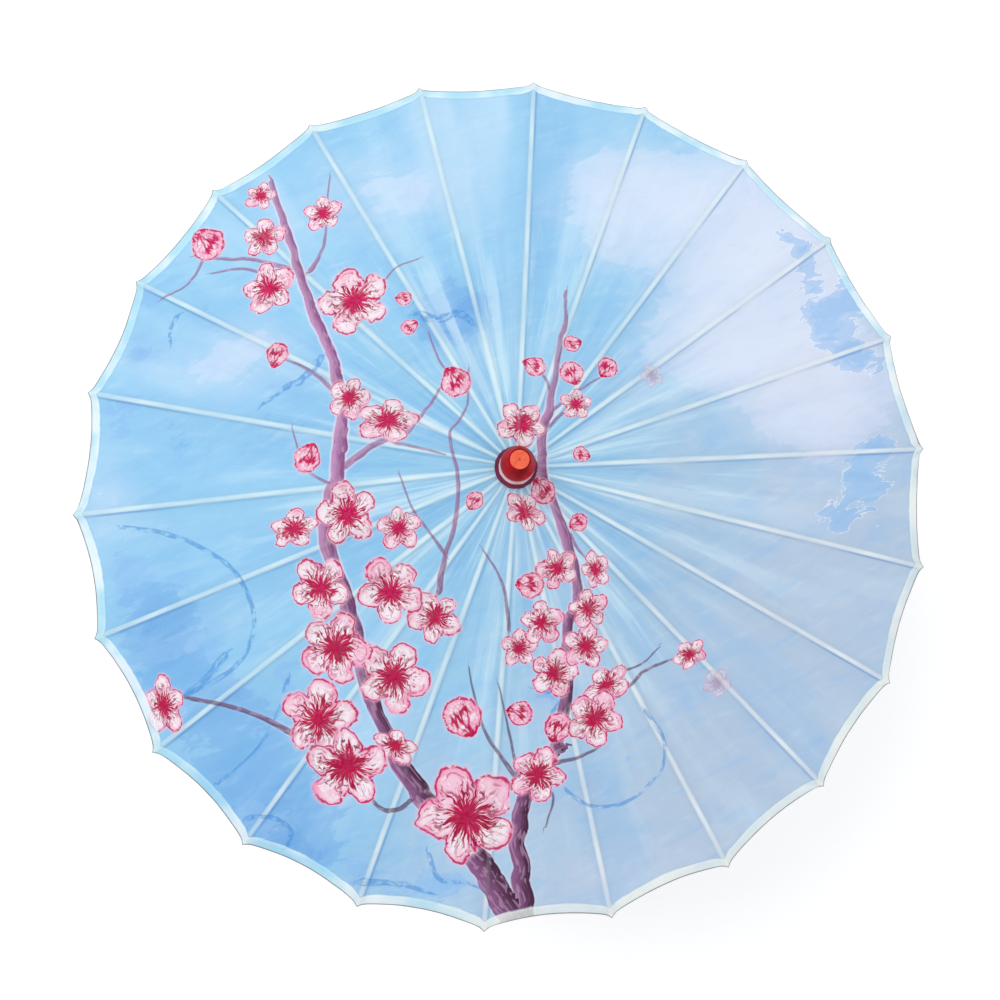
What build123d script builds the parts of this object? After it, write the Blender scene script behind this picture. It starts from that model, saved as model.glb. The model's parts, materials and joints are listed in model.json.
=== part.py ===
from build123d import *
import os
from math import cos, pi, radians, sin, sqrt, tan

# A Chinese cloth umbrella with bamboo ribs, drawn open. Every rib turns on a wire ring in the
# slotted hub, and a stretcher as long as the rib's inner part joins it to the slotted runner,
# so the runner slides straight along the shaft. Millimetres and degrees. The origin is on the
# shaft's axis at the middle of the grip, +Z points to the head cap and +X lies over rib_01.

# Driving dimensions: the fold
rib_count = 22
rib_length = 412.0
pivot_reach = 190.0
open_slope = 13.0
closed_slope = 86.0

# Ribs and stretchers, split bamboo
rib_width = 4.8
rib_crown = 1.8
rib_belly = 2.2
tip_width = 3.8
tip_drop = 0.7
belly_half_span = 45.0
stretcher_depth = 3.6
stretcher_width = 2.8
tongue_width = 1.5
tongue_length = 6.2
shoulder_width = 2.2
shoulder_length = 6.0

# Hinge wires and pivot pins
wire_radius = 0.5
pin_radius = 0.6

# Shaft, hub and runner, turned wood
shaft_radius = 5.5
core_wall = 3.9
flange_wall = 2.5
hub_half_height = 5.0
hub_chamfer = 0.8
hub_peg_radius = 0.9
sleeve_wall = 2.8
sleeve_drop = 38.0
stop_pin_radius = 1.2

# Head cap and collar
collar_cover = 3.5
collar_thickness = 1.4
cap_foot_radius = 12.4
cap_radius = 14.3
cap_height = 38.0
cap_foot_height = 2.0
cap_widest_height = 17.0
cap_top_radius = 8.7
cap_bore_depth = 24.0
plug_rim = 1.1
plug_thickness = 1.8
plug_recess = 1.2

# Catch: a leaf in a slot of the shaft
catch_length = 26.0
catch_width = 2.4
catch_bite = 2.3
catch_depth = 3.3
catch_eye_radius = 1.5

# Grip
grip_radius = 12.0
grip_length = 105.0
grip_taper_length = 12.5
grip_taper = 2.0
grip_bore_end = 7.0
ferrule_wall = 1.5
ferrule_step = 2.2
ferrule_height = 8.0
knob_inset = 0.6
knob_height = 9.0
knob_round = 5.0
knob_spigot_radius = 4.0
knob_spigot_length = 10.0

# Cloth
cloth_thickness = 0.5
hole_margin = 1.0
hem_overhang = 1.5
scallop_depth = 3.5

# Clearances
side_gap = 0.15
end_gap = 0.3
cloth_gap = 0.4
running_gap = 0.08
closed_gap = 3.0

# Radii that follow from what fits on what
eye_radius = max(rib_crown, stretcher_depth / 2)
slot_floor_radius = shaft_radius + core_wall
hinge_radius = slot_floor_radius + end_gap + eye_radius
hub_radius = hinge_radius + flange_wall
sleeve_radius = shaft_radius + running_gap + sleeve_wall
cloth_hole_radius = hub_radius + hole_margin
collar_radius = hub_radius + collar_cover
plug_radius = cap_top_radius - plug_rim
grip_end_radius = grip_radius - grip_taper
knob_radius = grip_radius - knob_inset
ferrule_lip_radius = shaft_radius + ferrule_wall
ferrule_radius = ferrule_lip_radius + ferrule_step
slot_width = tongue_width + 2 * side_gap

# Heights of the hinge circles
slope = radians(open_slope)
runner_drop = 2 * pivot_reach * sin(slope)
closed_drop = 2 * pivot_reach * sin(radians(closed_slope))
grip_half = grip_length / 2
ferrule_top = grip_half + ferrule_height
hub_height = ferrule_top + closed_gap + sleeve_drop + closed_drop
runner_height = hub_height - runner_drop
rib_spacing = 360 / rib_count
half_spacing = radians(rib_spacing / 2)

# Planes of the first rib and its stretcher: side views look along +Y, top views look down
rib_root = (hinge_radius, 0, hub_height)
rib_out = (cos(slope), 0, -sin(slope))
rib_up = (sin(slope), 0, cos(slope))
rib_side = Plane(origin=rib_root, x_dir=rib_out, z_dir=(0, -1, 0))
rib_top = Plane(origin=rib_root, x_dir=rib_out, z_dir=rib_up)
stretcher_root = (hinge_radius, 0, runner_height)
stretcher_out = (cos(slope), 0, sin(slope))
stretcher_up = (-sin(slope), 0, cos(slope))
stretcher_side = Plane(origin=stretcher_root, x_dir=stretcher_out, z_dir=(0, -1, 0))
stretcher_top = Plane(origin=stretcher_root, x_dir=stretcher_out, z_dir=stretcher_up)


def fork_reach(angle):
    """How far from the pivot the rib's slit runs for a stretcher that leaves at this angle."""
    half_depth = stretcher_depth / 2
    crossing = (rib_belly + half_depth * cos(angle)) / sin(angle)
    return crossing * cos(angle) + half_depth * sin(angle) + end_gap / sin(angle)


fork_inward = fork_reach(2 * slope)
fork_outward = fork_reach(pi - 2 * radians(closed_slope))
tongue_reach = tongue_length + shoulder_length

# One rib: straight crown, round eye on the hub's ring, fork for the stretcher, rounded tip
with BuildPart() as rib:
    with BuildSketch(rib_side):
        with BuildLine():
            Line((0, rib_crown), (rib_length, rib_crown))
            Polyline(
                (rib_length, rib_crown),
                (rib_length, -tip_drop),
                (pivot_reach + belly_half_span, -rib_belly),
                (pivot_reach - belly_half_span, -rib_belly),
                (0, -rib_crown),
            )
            ThreePointArc((0, -rib_crown), (-rib_crown, 0), (0, rib_crown))
        make_face()
    extrude(amount=rib_width, both=True)
    with BuildSketch(rib_top):
        with BuildLine():
            Polyline(
                (-rib_crown, 0),
                (-rib_crown, tongue_width / 2),
                (tongue_length, tongue_width / 2),
                (tongue_reach, shoulder_width / 2),
                (pivot_reach - belly_half_span, rib_width / 2),
                (pivot_reach + belly_half_span, rib_width / 2),
                (rib_length - tip_width / 2, tip_width / 2),
            )
            ThreePointArc(
                (rib_length - tip_width / 2, tip_width / 2),
                (rib_length - tip_width / 2 * (1 - cos(pi / 4)), tip_width / 2 * sin(pi / 4)),
                (rib_length, 0),
            )
            mirror(about=Plane.XZ)
        make_face()
    extrude(amount=2 * rib_width, both=True, mode=Mode.INTERSECT)
    with BuildSketch(rib_top):
        with Locations((pivot_reach + (fork_outward - fork_inward) / 2, 0)):
            Rectangle(fork_inward + fork_outward, slot_width)
    extrude(amount=2 * rib_width, both=True, mode=Mode.SUBTRACT)
    with BuildSketch(rib_side):
        Circle(wire_radius + running_gap)
        with Locations((pivot_reach, 0)):
            Circle(pin_radius)
    extrude(amount=rib_width, both=True, mode=Mode.SUBTRACT)

# The pin across the rib's fork, flush with its cheeks
with BuildPart() as pivot_pin:
    with BuildSketch(rib_side):
        with Locations((pivot_reach, 0)):
            Circle(pin_radius)
    extrude(amount=rib_width / 2, both=True)

# One stretcher: thin tongues at both ends, wider between the fork and the runner's slot
with BuildPart() as stretcher:
    with BuildSketch(stretcher_side):
        with Locations((pivot_reach / 2, 0)):
            SlotCenterToCenter(pivot_reach, stretcher_depth)
    extrude(amount=stretcher_width, both=True)
    with BuildSketch(stretcher_top):
        with BuildLine():
            Polyline(
                (-stretcher_depth, 0),
                (-stretcher_depth, tongue_width / 2),
                (tongue_length, tongue_width / 2),
                (tongue_reach, shoulder_width / 2),
                (pivot_reach / 3, stretcher_width / 2),
                (pivot_reach - fork_outward - 2 * shoulder_length, stretcher_width / 2),
                (pivot_reach - fork_outward - shoulder_length, tongue_width / 2),
                (pivot_reach + stretcher_depth, tongue_width / 2),
                (pivot_reach + stretcher_depth, 0),
            )
            mirror(about=Plane.XZ)
        make_face()
    extrude(amount=2 * stretcher_depth, both=True, mode=Mode.INTERSECT)
    with BuildSketch(stretcher_side):
        Circle(wire_radius + running_gap)
        with Locations((pivot_reach, 0)):
            Circle(pin_radius + running_gap)
    extrude(amount=stretcher_width, both=True, mode=Mode.SUBTRACT)

# The peg that holds the hub on the shaft runs between two slots, below the hinge ring
peg_angle = radians(rib_spacing / 2)
peg_length = 2 * (slot_floor_radius - end_gap)
peg_plane = Plane(
    origin=(0, 0, hub_height - hub_half_height / 2),
    x_dir=(0, 0, 1),
    z_dir=(cos(peg_angle), sin(peg_angle), 0),
)
with BuildPart() as hub_peg:
    with BuildSketch(peg_plane):
        Circle(hub_peg_radius)
    extrude(amount=peg_length / 2, both=True)

# Hub: a slot for every rib, open outward and downward, with a peg hole through hub and shaft
slot_length = hub_radius - slot_floor_radius + end_gap
slot_middle = slot_floor_radius + slot_length / 2
slot_height = hub_half_height + eye_radius + end_gap
with BuildPart() as top_hub:
    with BuildSketch(Plane.XY.offset(hub_height - hub_half_height)):
        Circle(hub_radius)
        Circle(shaft_radius, mode=Mode.SUBTRACT)
    extrude(amount=2 * hub_half_height)
    with BuildSketch(Plane.XY.offset(hub_height - hub_half_height)):
        with PolarLocations(slot_middle, rib_count):
            Rectangle(slot_length, slot_width)
    extrude(amount=slot_height, mode=Mode.SUBTRACT)
    with BuildSketch(Plane.XZ):
        with Locations((hinge_radius, hub_height)):
            Circle(wire_radius)
    revolve(axis=Axis.Z, mode=Mode.SUBTRACT)
    top_edges = top_hub.edges().filter_by(GeomType.CIRCLE).group_by(Axis.Z)[-1]
    chamfer(top_edges.sort_by(SortBy.RADIUS)[-1], length=hub_chamfer)
    with BuildSketch(peg_plane):
        Circle(hub_peg_radius)
    extrude(amount=peg_length / 2, both=True, mode=Mode.SUBTRACT)

with BuildPart() as hub_hinge_ring:
    with BuildSketch(Plane.XZ):
        with Locations((hinge_radius, hub_height)):
            Circle(wire_radius)
    revolve(axis=Axis.Z)

# Runner: the same slots the other way up, on a sleeve that slides on the shaft
with BuildPart() as runner:
    with BuildSketch(Plane.XY.offset(runner_height - sleeve_drop)):
        Circle(sleeve_radius)
    extrude(amount=sleeve_drop)
    with BuildSketch(Plane.XY.offset(runner_height - hub_half_height)):
        Circle(hub_radius)
    extrude(amount=2 * hub_half_height)
    with BuildSketch(Plane.XY.offset(runner_height + hub_half_height)):
        with PolarLocations(slot_middle, rib_count):
            Rectangle(slot_length, slot_width)
    extrude(amount=-slot_height, mode=Mode.SUBTRACT)
    with BuildSketch(Plane.XY.offset(runner_height - sleeve_drop)):
        Circle(shaft_radius + running_gap)
    extrude(amount=sleeve_drop + hub_half_height, mode=Mode.SUBTRACT)
    with BuildSketch(Plane.XZ):
        with Locations((hinge_radius, runner_height)):
            Circle(wire_radius)
    revolve(axis=Axis.Z, mode=Mode.SUBTRACT)

with BuildPart() as runner_hinge_ring:
    with BuildSketch(Plane.XZ):
        with Locations((hinge_radius, runner_height)):
            Circle(wire_radius)
    revolve(axis=Axis.Z)

# The cloth: a pyramid of flat gores with its ridges over the ribs and a scalloped hem
cloth_rise = (rib_crown + cloth_gap) / cos(slope)
cloth_wall = cloth_thickness / cos(slope)
hem_radius = hinge_radius + (rib_length + hem_overhang) * cos(slope)


def cloth_height(radius):
    """Height of the cloth's underside over a rib, at this distance from the shaft's axis."""
    return hub_height - (radius - hinge_radius) * tan(slope) + cloth_rise


with BuildPart() as canopy:
    with BuildSketch(Plane.XY.offset(cloth_height(cloth_hole_radius) + cloth_wall)):
        RegularPolygon(cloth_hole_radius, rib_count)
    with BuildSketch(Plane.XY.offset(cloth_height(hem_radius) + cloth_wall)):
        RegularPolygon(hem_radius, rib_count)
    loft(ruled=True)
    with BuildSketch(Plane.XY.offset(cloth_height(cloth_hole_radius))):
        RegularPolygon(cloth_hole_radius, rib_count)
    with BuildSketch(Plane.XY.offset(cloth_height(hem_radius))):
        RegularPolygon(hem_radius, rib_count)
    loft(ruled=True, mode=Mode.SUBTRACT)
    with BuildSketch(Plane.XY.offset(cloth_height(hem_radius) - cloth_wall)):
        with BuildLine():
            for number in range(rib_count):
                start = number * 2 * half_spacing
                valley = hem_radius * cos(half_spacing) - scallop_depth
                middle = start + half_spacing
                end = start + 2 * half_spacing
                ThreePointArc(
                    (hem_radius * cos(start), hem_radius * sin(start)),
                    (valley * cos(middle), valley * sin(middle)),
                    (hem_radius * cos(end), hem_radius * sin(end)),
                )
        make_face()
    extrude(amount=hem_radius * tan(slope) + hub_half_height, mode=Mode.INTERSECT)
    with BuildSketch(Plane.XY.offset(cloth_height(hem_radius))):
        Circle(cloth_hole_radius)
    extrude(amount=hem_radius * tan(slope) + hub_half_height, mode=Mode.SUBTRACT)

# Collar over the hub's top, with a skirt that follows the cloth
collar_seat = hub_height + hub_half_height
collar_inner = hub_radius + end_gap
cloth_top = cloth_wall + end_gap
with BuildPart() as cap_collar:
    with BuildSketch(Plane.XZ):
        with BuildLine():
            Polyline(
                (shaft_radius, collar_seat),
                (collar_inner, collar_seat),
                (collar_inner, cloth_height(collar_inner) + cloth_top),
                (collar_radius, cloth_height(collar_radius) + cloth_top),
                (collar_radius, cloth_height(collar_radius) + cloth_top + collar_thickness),
                (collar_radius - collar_thickness, collar_seat + collar_thickness),
                (shaft_radius, collar_seat + collar_thickness),
                close=True,
            )
        make_face()
    revolve(axis=Axis.Z)

# Head cap: a turned knob with a narrow waist, a swelling and a flat top for the plug
cap_seat = collar_seat + collar_thickness
cap_top = cap_seat + cap_height
with BuildPart() as head_cap:
    with BuildSketch(Plane.XZ):
        with BuildLine():
            Line((0, cap_seat), (cap_foot_radius, cap_seat))
            Line((cap_foot_radius, cap_seat), (cap_foot_radius, cap_seat + cap_foot_height))
            Spline(
                (cap_foot_radius, cap_seat + cap_foot_height),
                (cap_radius, cap_seat + cap_widest_height),
                (cap_top_radius, cap_top),
                tangents=[(0.2, 1), (-0.35, 1)],
            )
            Line((cap_top_radius, cap_top), (0, cap_top))
            Line((0, cap_top), (0, cap_seat))
        make_face()
    revolve(axis=Axis.Z)
    with BuildSketch(Plane.XY.offset(cap_seat)):
        Circle(shaft_radius)
    extrude(amount=cap_bore_depth, mode=Mode.SUBTRACT)
    with BuildSketch(Plane.XY.offset(cap_top)):
        Circle(plug_radius)
    extrude(amount=-plug_recess, mode=Mode.SUBTRACT)

with BuildPart() as cap_plug:
    with BuildSketch(Plane.XY.offset(cap_top - plug_recess)):
        Circle(plug_radius)
    extrude(amount=plug_thickness)
    fillet(cap_plug.edges().sort_by(Axis.Z)[-1], radius=(plug_thickness - plug_recess) / 2)

# Shaft, with the holes for its pins and the catch's slot
stop_pin_height = runner_height + hub_half_height + end_gap + stop_pin_radius
catch_top = runner_height - sleeve_drop - end_gap
catch_pivot_height = catch_top - catch_length
catch_pivot_offset = shaft_radius - catch_depth
catch_pin_length = 2 * sqrt(shaft_radius**2 - (catch_pivot_offset + pin_radius) ** 2)
shaft_bottom = -grip_half + knob_spigot_length + grip_bore_end
catch_slot_bottom = catch_pivot_height - catch_eye_radius - end_gap
catch_slot_top = catch_top + 2 * end_gap
with BuildPart() as shaft:
    with BuildSketch(Plane.XY.offset(shaft_bottom)):
        Circle(shaft_radius)
    extrude(amount=cap_seat + cap_bore_depth - shaft_bottom)
    with BuildSketch(Plane.XZ):
        with Locations((shaft_radius, (catch_slot_bottom + catch_slot_top) / 2)):
            Rectangle(2 * shaft_radius, catch_slot_top - catch_slot_bottom)
    extrude(amount=catch_width / 2 + side_gap, both=True, mode=Mode.SUBTRACT)
    with BuildSketch(Plane.XZ):
        with Locations((0, stop_pin_height)):
            Circle(stop_pin_radius)
        with Locations((catch_pivot_offset, catch_pivot_height)):
            Circle(pin_radius)
    extrude(amount=2 * shaft_radius, both=True, mode=Mode.SUBTRACT)
    with BuildSketch(peg_plane):
        Circle(hub_peg_radius)
    extrude(amount=peg_length / 2, both=True, mode=Mode.SUBTRACT)

with BuildPart() as stop_pin:
    with BuildSketch(Plane.XZ):
        with Locations((0, stop_pin_height)):
            Circle(stop_pin_radius)
    extrude(amount=sleeve_radius - side_gap, both=True)

# Catch leaf: its nose bears under the runner's sleeve and its eye turns on the catch pin
with BuildPart() as catch_leaf:
    with BuildSketch(Plane.XZ):
        with BuildLine():
            Polyline(
                (catch_pivot_offset + catch_eye_radius, catch_pivot_height),
                (shaft_radius + catch_bite, catch_top - catch_bite),
                (shaft_radius + catch_bite, catch_top),
                (catch_pivot_offset + catch_eye_radius, catch_top),
                (catch_pivot_offset - catch_eye_radius / 2, catch_pivot_height),
                close=True,
            )
        make_face()
        with Locations((catch_pivot_offset, catch_pivot_height)):
            Circle(catch_eye_radius)
            Circle(pin_radius + running_gap, mode=Mode.SUBTRACT)
    extrude(amount=catch_width / 2, both=True)

with BuildPart() as catch_pin:
    with BuildSketch(Plane.XZ):
        with Locations((catch_pivot_offset, catch_pivot_height)):
            Circle(pin_radius)
    extrude(amount=catch_pin_length / 2, both=True)

# Grip: straight in the middle, tapered to both ends, bored for the shaft and the end knob
straight_half = grip_half - grip_taper_length
with BuildPart() as handle_grip:
    with BuildSketch(Plane.XZ):
        with BuildLine():
            Polyline(
                (0, -grip_half),
                (grip_end_radius, -grip_half),
                (grip_radius, -straight_half),
                (grip_radius, straight_half),
                (grip_end_radius, grip_half),
                (0, grip_half),
                close=True,
            )
        make_face()
    revolve(axis=Axis.Z)
    with BuildSketch(Plane.XY.offset(shaft_bottom)):
        Circle(shaft_radius)
    extrude(amount=grip_half - shaft_bottom, mode=Mode.SUBTRACT)
    with BuildSketch(Plane.XY.offset(-grip_half)):
        Circle(knob_spigot_radius)
    extrude(amount=knob_spigot_length, mode=Mode.SUBTRACT)

with BuildPart() as grip_ferrule:
    with BuildSketch(Plane.XZ):
        with BuildLine():
            Polyline(
                (shaft_radius, grip_half),
                (ferrule_radius, grip_half),
                (ferrule_radius, grip_half + ferrule_height / 2),
                (ferrule_lip_radius, ferrule_top),
                (shaft_radius, ferrule_top),
                close=True,
            )
        make_face()
    revolve(axis=Axis.Z)

with BuildPart() as end_knob:
    with BuildSketch(Plane.XY.offset(-grip_half)):
        Circle(knob_radius)
    extrude(amount=-knob_height)
    fillet(end_knob.edges().sort_by(Axis.Z)[0], radius=knob_round)
    with BuildSketch(Plane.XY.offset(-grip_half)):
        Circle(knob_spigot_radius)
    extrude(amount=knob_spigot_length)

# Every piece is written as a node of its own. A rib's node also holds its pivot pin.
os.makedirs("parts", exist_ok=True)
pieces = {
    "shaft": shaft.part,
    "top_hub": top_hub.part,
    "hub_peg": hub_peg.part,
    "hub_hinge_ring": hub_hinge_ring.part,
    "runner": runner.part,
    "runner_hinge_ring": runner_hinge_ring.part,
    "canopy": canopy.part,
    "cap_collar": cap_collar.part,
    "head_cap": head_cap.part,
    "cap_plug": cap_plug.part,
    "stop_pin": stop_pin.part,
    "catch_leaf": catch_leaf.part,
    "catch_pin": catch_pin.part,
    "handle_grip": handle_grip.part,
    "grip_ferrule": grip_ferrule.part,
    "end_knob": end_knob.part,
}
for name, piece in pieces.items():
    piece.label = name
    export_step(piece, f"parts/{name}.step")

for number in range(rib_count):
    turn = Rot(0, 0, number * rib_spacing)
    name = f"rib_{number + 1:02d}"
    rib_and_pin = Compound(label=name, children=[turn * rib.part, turn * pivot_pin.part])
    export_step(rib_and_pin, f"parts/{name}.step")
    turned_stretcher = turn * stretcher.part
    turned_stretcher.label = f"stretcher_{number + 1:02d}"
    export_step(turned_stretcher, f"parts/{turned_stretcher.label}.step")
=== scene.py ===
import json
import math

import bpy
from mathutils import Matrix, Vector, noise


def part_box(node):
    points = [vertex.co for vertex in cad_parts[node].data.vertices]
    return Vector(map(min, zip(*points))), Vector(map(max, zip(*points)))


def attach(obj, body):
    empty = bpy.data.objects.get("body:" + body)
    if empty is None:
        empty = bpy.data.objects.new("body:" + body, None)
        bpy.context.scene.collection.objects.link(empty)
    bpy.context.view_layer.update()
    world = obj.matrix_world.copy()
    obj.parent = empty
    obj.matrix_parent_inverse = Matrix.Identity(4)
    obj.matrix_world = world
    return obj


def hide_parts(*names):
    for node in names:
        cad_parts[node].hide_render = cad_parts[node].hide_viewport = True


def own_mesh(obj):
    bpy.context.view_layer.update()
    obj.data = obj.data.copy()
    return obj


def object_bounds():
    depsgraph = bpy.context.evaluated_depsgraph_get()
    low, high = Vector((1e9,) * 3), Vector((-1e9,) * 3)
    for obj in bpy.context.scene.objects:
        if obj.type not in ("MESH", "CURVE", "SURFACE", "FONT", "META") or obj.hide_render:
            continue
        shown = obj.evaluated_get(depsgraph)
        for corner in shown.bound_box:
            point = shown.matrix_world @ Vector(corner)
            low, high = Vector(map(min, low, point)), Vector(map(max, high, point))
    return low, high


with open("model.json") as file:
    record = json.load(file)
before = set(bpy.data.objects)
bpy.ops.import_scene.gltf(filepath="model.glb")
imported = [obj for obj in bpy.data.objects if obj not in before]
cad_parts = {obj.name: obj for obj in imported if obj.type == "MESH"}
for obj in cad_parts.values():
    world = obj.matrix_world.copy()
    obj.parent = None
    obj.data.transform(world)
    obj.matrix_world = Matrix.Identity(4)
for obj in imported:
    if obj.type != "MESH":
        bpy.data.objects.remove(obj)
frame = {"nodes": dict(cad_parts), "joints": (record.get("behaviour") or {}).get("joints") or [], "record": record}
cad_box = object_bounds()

scene = bpy.context.scene
scene.view_settings.view_transform = "Standard"
MM = 0.001

# ---------------------------------------------------------------- places read from the frame
joints = {j["name"]: j for j in frame["joints"]}
rib_names = sorted(n for n in frame["nodes"] if n.startswith("rib_"))
RIBS = len(rib_names)
HALF = math.pi / RIBS                                   # half the angle between two ribs
hinge = Vector(joints["canopy_fold"]["pos_m"])
HINGE_R, HUB_Z = hinge.x, hinge.z
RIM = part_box("canopy")[1].x                             # the hem's radius over a rib
FALL = math.radians(13)                                 # the open ribs' angle below level
SLOPE = math.tan(FALL)
LIFT = 2.9 * MM / math.cos(FALL)                        # the cloth's height over the line of the ribs' hinges
MOUTH = 15.4 * MM                                       # the cloth's inner edge, under the collar
LOWER_LEFT = math.radians(228)                          # the side where the hem and the collar hang out most


# ---------------------------------------------------------------- small helpers for shader nodes
def srgb(r, g, b):
    """A colour given as 0 to 255 on screen, as linear light."""
    linear = ((c / 255 / 12.92) if c <= 10 else ((c / 255 + 0.055) / 1.055) ** 2.4 for c in (r, g, b))
    return (*linear, 1.0)


class Wire:
    """A node's output, with arithmetic."""
    tree = None

    def __init__(self, socket):
        self.socket = socket

    def __add__(self, other): return calc("ADD", self, other)
    def __radd__(self, other): return calc("ADD", other, self)
    def __sub__(self, other): return calc("SUBTRACT", self, other)
    def __rsub__(self, other): return calc("SUBTRACT", other, self)
    def __mul__(self, other): return calc("MULTIPLY", self, other)
    def __rmul__(self, other): return calc("MULTIPLY", other, self)
    def __truediv__(self, other): return calc("DIVIDE", self, other)


def feed(socket, value):
    if isinstance(value, Wire):
        Wire.tree.links.new(value.socket, socket)
    elif value is not None:
        socket.default_value = value


def node(kind, out=0, settings=None, **inputs):
    """Adds a shader node. Inputs are given by name, with _ for a space."""
    made = Wire.tree.nodes.new(kind)
    for key, value in (settings or {}).items():
        setattr(made, key, value)
    for key, value in inputs.items():
        feed(made.inputs[key.replace("_", " ")], value)
    return Wire(made.outputs[out])


def calc(operation, *values):
    made = Wire.tree.nodes.new("ShaderNodeMath")
    made.operation = operation
    for i, value in enumerate(values):
        feed(made.inputs[i], value)
    return Wire(made.outputs[0])


def absolute(a): return calc("ABSOLUTE", a)
def fraction(a): return calc("FRACT", a)
def power(a, b): return calc("POWER", a, b)
def highest(a, b): return calc("MAXIMUM", a, b)
def sine(a): return calc("SINE", a)


def step(value, low, high):
    """0 at low, 1 at high, smooth between. High may be below low."""
    made = Wire.tree.nodes.new("ShaderNodeMapRange")
    made.interpolation_type = "SMOOTHSTEP"
    if not isinstance(low, Wire) and not isinstance(high, Wire) and low > high:
        low, high, ends = high, low, (1.0, 0.0)
    else:
        ends = (0.0, 1.0)
    for i, v in enumerate((value, low, high) + ends):
        feed(made.inputs[i], v)
    return Wire(made.outputs[0])


def mix(share, a, b):
    """Mixes two colours."""
    made = Wire.tree.nodes.new("ShaderNodeMix")
    made.data_type = "RGBA"
    feed(made.inputs[0], share)
    feed(made.inputs[6], a)
    feed(made.inputs[7], b)
    return Wire(made.outputs[2])


def mix_value(share, a, b):
    return a + (b - a) * share


def joined(x, y, z=0.0):
    return node("ShaderNodeCombineXYZ", X=x, Y=y, Z=z)


def parts_of(vector):
    made = Wire.tree.nodes.new("ShaderNodeSeparateXYZ")
    feed(made.inputs[0], vector)
    return [Wire(o) for o in made.outputs]


def attribute(name):
    """A mesh attribute's three parts."""
    return parts_of(node("ShaderNodeAttribute", 1, {"attribute_name": name}))


def object_place():
    """A point's place on its object: x, y and z, in metres."""
    return parts_of(node("ShaderNodeTexCoord", 3))


def clouds(vector, scale, detail=3.0, roughness=0.5, twist=0.0):
    """Noise from 0 to 1, about 0.5 on average."""
    return node("ShaderNodeTexNoise", 0, Vector=vector, Scale=scale, Detail=detail,
                Roughness=roughness, Distortion=twist)


def scaled(vector, x, y):
    made = Wire.tree.nodes.new("ShaderNodeVectorMath")
    made.operation = "MULTIPLY"
    feed(made.inputs[0], vector)
    made.inputs[1].default_value = (x, y, 1)
    return Wire(made.outputs[0])


def bump(height, strength, distance, normal=None):
    """A relief, with its depth in metres, laid over another one's normal if that is given."""
    made = node("ShaderNodeBump", Height=height, Strength=strength, Distance=distance)
    if normal is not None:
        feed(made.socket.node.inputs["Normal"], normal)
    return made


def begin(name):
    """Starts a material: the nodes made next go into its tree."""
    made = bpy.data.materials.new(name)
    made.use_nodes = True
    Wire.tree = made.node_tree
    Wire.tree.nodes.clear()
    return made


def surface(shader):
    out = Wire.tree.nodes.new("ShaderNodeOutputMaterial")
    feed(out.inputs["Surface"], shader)


def principled(**inputs):
    return node("ShaderNodeBsdfPrincipled", **inputs)


def mix_shaders(share, a, b):
    made = node("ShaderNodeMixShader", Fac=share)
    feed(made.socket.node.inputs[1], a)
    feed(made.socket.node.inputs[2], b)
    return made


def along_stick():
    """Coordinates that follow a rib or stretcher: distance from the shaft, sideways, height, and its number."""
    x, y, z = object_place()
    turn = calc("ARCTAN2", y, x) / (2 * HALF)
    which = calc("ROUND", turn)
    reach = power(x * x + y * y, 0.5)
    return reach, (turn - which) * reach * (2 * HALF), z, which


# ---------------------------------------------------------------- the cloth's print
# Everything is in hundredths of the canopy's radius, from the shaft: x to the right, y away.
# Blossoms: x, y, size, kind (0 open, 1 side view, 2 bud, 3 faint). Later ones lie on top.
BLOSSOMS = [
    (-54, 73, 3.6, 0), (-67, 62, 4.3, 2), (-53, 61, 4.7, 0), (-39, 66, 4.4, 0), (-52, 48, 5.9, 0),
    (-32, 42, 7.6, 0), (-21, 41, 1.8, 2), (-20, 34, 1.9, 2), (-50, 31, 2.8, 2), (-11, 20, 3.4, 2),
    (-34, 19, 4.4, 0), (-26, 13, 6.3, 1), (-44, 7, 3.2, 2), (-48, -8, 5.4, 1), (-25, -10, 4.3, 0),
    (-36, -6, 6.4, 0), (-9, -6, 1.9, 2), (-19, -29, 5.2, 0), (-28, -23, 6.5, 0), (-43, -21, 6.2, 0),
    (-29, -41, 7.2, 0), (-41, -34, 7.1, 0), (-30, -56, 4.8, 1), (-46, -49, 7.6, 0),
    (-41, -60, 8.4, 0), (-81, -44, 6.2, 1), (-15, -51, 4.4, 2), (-3, -51, 2.8, 2),
    (-16, -73, 10.4, 0), (5, -55, 3.2, 2), (16, -47, 5.4, 1), (13, -54, 5.8, 0), (0, -65, 5.8, 0),
    (5, -43, 4.8, 0), (12, -38, 4.6, 0), (-2, -37, 3.7, 0), (3, -32, 4.3, 0), (13, -30, 3.9, 0),
    (15, -22, 3.8, 1), (7, -21, 4.0, 0), (1, -24, 2.8, 2), (2, 9, 4.8, 0), (1, -9, 4.4, 1),
    (5, -5, 2.7, 2), (14, 2, 1.8, 2), (12, -12, 2.0, 2), (14, 13, 3.2, 0), (14, 20, 2.7, 2),
    (6, 22, 2.4, 2), (15, 27, 2.0, 2), (22, 21, 2.4, 2), (32, 19, 2.6, 3), (35, -42, 3.9, 1),
    (41, -49, 3.0, 3),
]
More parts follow.
